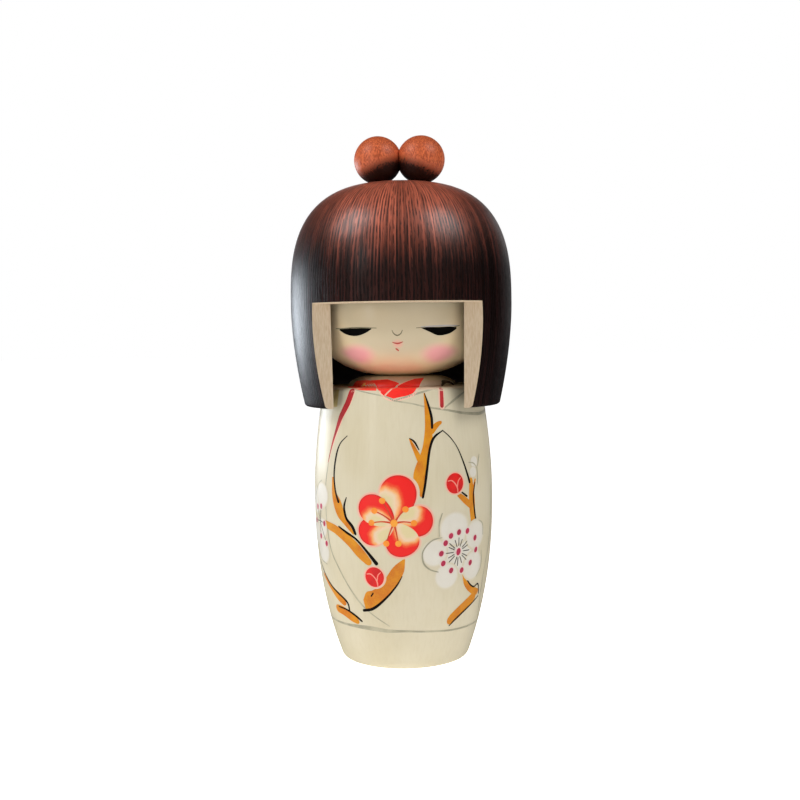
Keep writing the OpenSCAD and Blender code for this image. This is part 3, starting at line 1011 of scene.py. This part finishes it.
branch_shade = [
    brush_line([(t, u, 0.8 * w) for t, u, w in points], 0.1, branch_ink)
    for points in (
        [(18, 85, 0.3), (20, 82, 0.8), (22, 78, 1.0), (22, 74.5, 0.9)],
        [(29.5, 74, 0.4), (23, 72, 0.9), (20, 69, 0.9), (18, 64, 0.9), (16, 58, 0.9),
         (14.5, 54.5, 0.8)],
        [(7, 72, 0.3), (10, 71, 0.7), (13, 68.5, 0.4)],
        [(29, 74, 0.4), (34, 72, 0.4), (39, 69, 0.4), (43, 65, 0.6), (47, 60, 0.9), (48.5, 57.8, 1.0)],
        [(53.5, 58, 0.4), (51.5, 54, 0.7), (52.5, 50, 0.7), (54, 46.5, 0.8)],
        [(41, 55.6, 0.6), (46, 54, 0.8)],
        [(-35, 72.5, 0.3), (-41, 70, 0.5), (-44, 66.5, 0.8), (-45.5, 61, 0.8), (-44, 56, 0.8),
         (-41, 52.5, 1.1)],
        [(-34.5, 54.5, 0.4), (-36.5, 51.5, 0.9), (-35, 48.3, 1.0), (-30.5, 46, 1.2), (-28, 43.5, 1.0)],
        [(-42, 45.6, 0.6), (-35, 44, 0.9), (-28, 42.3, 0.8), (-21, 39, 1.0), (-14, 35, 1.5)],
        [(1.5, 31.8, 0.3), (-2, 29, 0.6), (-9, 25.2, 0.8), (-19, 21.5, 1.1), (-27.5, 20.5, 1.1)],
        [(-18, 26.5, 0.5), (-20, 25.2, 0.6)],
        [(-72, 33.5, 0.4), (-66, 30.3, 0.5), (-56, 26.5, 0.7), (-44, 23.6, 0.9), (-40, 22, 0.9),
         (-39.5, 19.5, 0.7)],
        [(-51.5, 20.3, 0.5), (-43, 20, 0.7), (-35, 18.6, 0.9), (-29, 16.8, 0.8)],
        [(45, 31, 0.4), (51, 27.6, 0.6), (57, 26, 0.6), (62, 26.6, 0.6), (66, 23, 0.6)],
        [(66, 22.5, 0.5), (51, 19.3, 0.8), (42, 16.9, 0.8), (36.5, 15, 0.5)],
        [(152, 64, 0.3), (162, 57, 0.8), (163, 47, 0.8), (155, 37, 0.8)],
    )
]
gather("branch_shade_lines", branch_shade)


# ---- Painting: red plum blossom ----
# Five petals, each a red crescent brushed on with its wet edge pulled in through orange to the
# bare cream near the middle, then orange stamens on short red filaments.

red_petal, tree, shader = new_material("red_petal", 0.42, 0.2, 0.16)
place, apart = coordinates(tree, "UV")
across = maths(tree, "SUBTRACT", maths(tree, "MULTIPLY", apart[0], 2.0), 1.0)
outward = maths(tree, "SUBTRACT", maths(tree, "MULTIPLY", apart[1], 2.0), 1.0)
bristle = new_node(tree, "TexNoise", {"Scale": 5.0, "Detail": 3.0})
tree.links.new(place, bristle.inputs["Vector"])
off_x = maths(tree, "ADD", across, 0.6)
off_y = maths(tree, "ADD", outward, 0.5)
ragged = maths(tree, "MULTIPLY", maths(tree, "SUBTRACT", bristle.outputs["Fac"], 0.5), 0.3)
reach = maths(tree, "ADD", reach_of(tree, off_x, off_y), ragged)
washes = new_node(tree, "ValToRGB")
stops = washes.color_ramp.elements
stops[0].position = 0.25
stops[0].color = display_colour(226, 208, 158)
stops[1].position = 0.8
stops[1].color = display_colour(244, 20, 10)
for position, colour in ((0.42, (238, 208, 176)), (0.56, (248, 176, 104)), (0.68, (244, 84, 40))):
    stop = stops.new(position)
    stop.color = display_colour(*colour)
reach = maths(tree, "MULTIPLY", reach, 0.75)
tree.links.new(reach, washes.inputs["Fac"])
rim = remap(tree, reach_of(tree, across, outward), 0.88, 0.98, 0.0, 0.7)
rim = maths(tree, "MULTIPLY", rim, remap(tree, reach, 0.6, 0.85))
tree.links.new(mix(tree, rim, washes.outputs["Color"], (196, 28, 26)), shader.inputs["Base Color"])
add_relief(tree, shader, bristle.outputs["Fac"], 0.01 * MM)


def petal(centre, aim, length, width, lift, material):
    """A petal from the blossom's middle outwards; aim is in degrees up from the doll's left-to-right."""
    c, s = math.cos(math.radians(aim)), math.sin(math.radians(aim))

    def spot(share, across):
        x, y = on_disc(share, across)
        out = length * ((y + 1) / 2) ** 0.75
        side = width * x
        return (
            centre[0] + (out * c + side * s) / DEGREE_MM,
            centre[1] + out * s - side * c,
            (0.5 + x / 2, 0.5 + y / 2),
        )

    return lay_film(on_body, 14, 16, spot, lift, material)


def filament(middle, end, widths, bow, lift, material):
    """A fine line from a blossom's middle to its end, raised by bow half way."""
    (x0, y0), (x1, y1) = middle, end
    half_way = ((x0 + x1) / 2, (y0 + y1) / 2 + bow, widths[1])
    return brush_line([(x0, y0, widths[0]), half_way, (x1, y1, widths[1])], lift, material)


RED_CENTRE = (-3, 47.5)
halo_soft = hand_paint("halo_pink", (246, 168, 148), (244, 190, 164), 0.6)
soft_edge(halo_soft, 0.86, 1.0, WOOD_GROUND, 0.9)
red_petals = ((82, 14, 5.2), (4, 11, 4.5), (-68, 10.3, 4.8), (202, 11, 4.2), (146, 11.6, 4.3))
gather(
    "red_blossom_halo",
    [petal(RED_CENTRE, a, n + 0.7, w + 0.8, 0.14, halo_soft) for a, n, w in red_petals],
)
gather(
    "red_blossom_petals",
    [petal(RED_CENTRE, a, n, w, 0.18 + 0.04 * i, red_petal) for i, (a, n, w) in enumerate(red_petals)],
)
filament_red = hand_paint("filament_red", (206, 50, 24), (228, 96, 40), 0.7)
stamen_orange = hand_paint("stamen_orange", (250, 140, 36), (252, 176, 60), 0.9)
stamens = ((-10, 54), (-15, 51), (4, 51.5), (9, 47.5), (-17, 47.5), (-8, 41.5), (-0.5, 41.5))
gather(
    "red_blossom_filaments",
    [filament(RED_CENTRE, end, (0.7, 0.4), 0.4, 0.42, filament_red) for end in stamens],
)
gather(
    "red_blossom_stamens",
    [round_dab(spot_at, (0.9, 0.9), 0.47, stamen_orange) for spot_at in stamens]
    + [round_dab(RED_CENTRE, (1.0, 1.1), 0.47, stamen_orange)],
)


# ---- Painting: red buds ----
# Two closed buds, round dabs of red with the folded petals drawn as a pale Y.

bud_red = hand_paint("bud_red", (236, 22, 16), (200, 20, 22), 0.9)
bud_line = hand_paint("bud_line", (246, 150, 132), (240, 110, 96), 0.7)
buds = ((-16.5, 31.3), (36.3, 58.3))
gather("bud_halos", [round_dab(b, (3.6, 3.6), 0.14, halo_soft) for b in buds])
gather("red_buds", [round_dab(b, (2.9, 3), 0.18, bud_red, cells=12) for b in buds])
gather(
    "bud_lines",
    [
        brush_line([(x + dx, y + dy, w) for dx, dy, w in points], 0.23, bud_line)
        for x, y in buds
        for points in (
            [(-5.5, 0.8, 0.3), (-2.5, 0.9, 0.35), (0.2, -0.2, 0.35), (1.6, -1.4, 0.4), (2, -3, 0.3)],
            [(1.6, -1.2, 0.3), (2.4, 0.6, 0.3), (4.4, 1.6, 0.25)],
        )
    ],
)


# ---- Painting: white plum blossoms ----
# Petals dabbed in thin white, half outlined in grey, with fine dark filaments and crimson anthers
# round a crimson middle. The larger one is at the front right, its fellow on the left side.

petal_white = hand_paint("petal_white", (224, 219, 208), (229, 225, 216), 0.7, 0.38)
soft_edge(petal_white, 0.75, 1.0, WOOD_GROUND, 0.8)
anther_crimson = hand_paint("anther_crimson", (196, 44, 80), (160, 44, 66), 0.7)
anther_halo = hand_paint("anther_halo", (238, 186, 190), (236, 196, 196), 0.5)
soft_edge(anther_halo, 0.5, 1.0, (222, 215, 200), 0.8)
fine_ink = hand_paint("fine_ink", (40, 34, 30), (90, 78, 68), 0.6, 0.5, 0.0)

white_petals = [
    round_dab(centre, (r, r), 0.12 + 0.01 * i, petal_white, cells=12)
    for i, (centre, r) in enumerate((
        ((40, 38), 6.0), ((22, 38.3), 4.3), ((36, 45), 5.4), ((54, 42.3), 4.7), ((53, 33), 4.8),
        ((31, 31), 4.2),
        ((53.5, 64), 1.8), ((52, 61), 1.7),
        ((-70, 52), 4.2), ((-60, 54), 4.0), ((-61, 44), 3.2), ((-62, 37), 4.2), ((-74, 42), 4.2),
        ((150, 34), 4.2), ((162, 36), 4.2), ((160, 27), 4.2), ((148, 26), 4.2), ((143, 31), 3.6),
    ))
]
gather("white_petals", white_petals)
white_lines = strokes(0.32, grey_ink, (
    [(27, 42.8, 0.3), (20, 42, 0.4), (14.5, 39, 0.4), (15, 35.5, 0.5), (19, 33.5, 0.4),
     (25, 32.5, 0.3)],
    [(27, 50, 0.3), (25, 47, 0.4), (25, 43, 0.3)],
    [(57, 46.5, 0.3), (62, 45, 0.4), (63, 41.5, 0.3)],
    [(62, 37, 0.3), (63, 32, 0.4), (58, 29, 0.3)],
    [(48, 64, 0.3), (53, 63.5, 0.4), (56.5, 61.5, 0.4), (56, 57, 0.3)],
    [(60, 66, 0.3), (57, 62.5, 0.3)],
    [(-60, 58.5, 0.4), (-66, 57, 0.3), (-73, 53, 0.3)],
    [(-58, 33, 0.3), (-67, 34, 0.4), (-74, 38, 0.3)],
))
gather("white_petal_outlines", white_lines)
WHITE_CENTRE = (39, 38)
SIDE_CENTRE = (-64, 46)
BACK_CENTRE = (153, 31)
anthers = ((26.5, 38), (28, 35), (34, 32.6), (42.5, 32.2), (50, 34), (55, 37.6), (53.5, 41.3), (46, 43.8),
           (39, 43.8), (33, 43), (29.3, 41))
side_anthers = ((-61.5, 50.5), (-72, 45.7), (-57.5, 45.5), (-64, 41.3), (-56, 39.5), (-68, 50))
back_anthers = ((146, 34), (152, 36), (158, 34), (160, 29.5), (153, 26.5), (147, 28.5))
all_anthers = anthers + side_anthers + back_anthers
gather(
    "filaments",
    [
        brush_line(
            [
                (
                    WHITE_CENTRE[0] + k * out * math.cos(a) / DEGREE_MM,
                    WHITE_CENTRE[1] + k * out * math.sin(a),
                    0.26,
                )
                for out in (1.7, 3.0, 4.3)
            ],
            0.34,
            fine_ink,
        )
        for k, a in (
            (0.9 if i % 2 else 1.0, math.radians(22.5 * i + 4 * math.sin(2.4 * i))) for i in range(16)
        )
    ]
    + [
        filament(centre, end, (0.25, 0.25), 0, 0.3, fine_ink)
        for centre, ends in ((SIDE_CENTRE, side_anthers), (BACK_CENTRE, back_anthers))
        for end in ends
    ],
)
gather(
    "anther_halos",
    [round_dab(p, (1.2, 1.3), 0.3, anther_halo) for p in all_anthers]
    + [round_dab(WHITE_CENTRE, (1.4, 1.6), 0.3, anther_halo)],
)
gather(
    "anthers",
    [round_dab(p, (0.72, 0.88), 0.38, anther_crimson, lean=-20) for p in all_anthers]
    + [round_dab(WHITE_CENTRE, (0.75, 1.1), 0.4, anther_crimson, lean=-12)],
)


# ---- Painting: face ----
# Closed eyes in glossy black, drawn as two lens shapes with a soft lid line, a fine nose and a
# small mouth in red.

on_head = chart(head_skin, [z / MM for _, z in head_skin])
eye_black = hand_paint("eye_black", (6, 4, 3), (16, 12, 9), 0.4, 0.5, 0.0, 0.1)
lid_grey = hand_paint("lid_grey", (176, 168, 170), (196, 188, 180), 0.8)
nose_grey = hand_paint("nose_grey", (112, 104, 78), (150, 140, 112), 0.8)
lip_red = hand_paint("lip_red", (184, 66, 56), (206, 98, 82), 0.7)

eye_edges = (
    ([(-40, 101), (-35, 99.8), (-28, 99.3), (-21, 100), (-16, 101.2)],
     [(-40, 101.3), (-35, 101.5), (-28, 101.5), (-21, 101.5), (-16, 101.4)]),
    ([(15, 101.4), (20, 100.4), (27, 99.2), (35, 99.7), (40, 101)],
     [(15, 101.6), (20, 101.6), (27, 101.6), (35, 101.7), (40, 101.5)]),
)
gather("closed_eyes", [filled_shape(a, b, 0.05, eye_black, 4, on_head) for a, b in eye_edges], "head")
eye_tails = (
    [(-43.5, 101.5, 0.2), (-38, 101.5, 0.3), (-28, 101.7, 0.3), (-18, 101.6, 0.3), (-12.5, 101.5, 0.2)],
    [(12, 101.4, 0.2), (18, 101.6, 0.3)],
    [(38, 101.6, 0.3), (42.5, 102, 0.2)],
)
gather("eye_tails", strokes(0.06, nose_grey, eye_tails, on_head), "head")
lid = [(15, 101.7, 0.3), (24, 101.9, 0.35), (33, 102, 0.45), (41, 101.9, 0.3)]
gather("eye_lids", [brush_line(lid, 0.05, lid_grey, on_head)], "head")
nose = [(-3, 100.9, 0.2), (-2, 99.9, 0.3), (0.2, 99.3, 0.35), (2.4, 99.8, 0.3), (3.6, 100.9, 0.2)]
gather("nose_line", [brush_line(nose, 0.05, nose_grey, on_head)], "head")
lips = (
    [(-3.3, 97.4, 0.2), (0.3, 97, 0.45), (4, 97.5, 0.2)],
    [(-1.3, 95.6, 0.4), (0, 95.2, 0.5), (1, 94.8, 0.3)],
)
gather("lip_lines", strokes(0.08, lip_red, lips, on_head), "head")
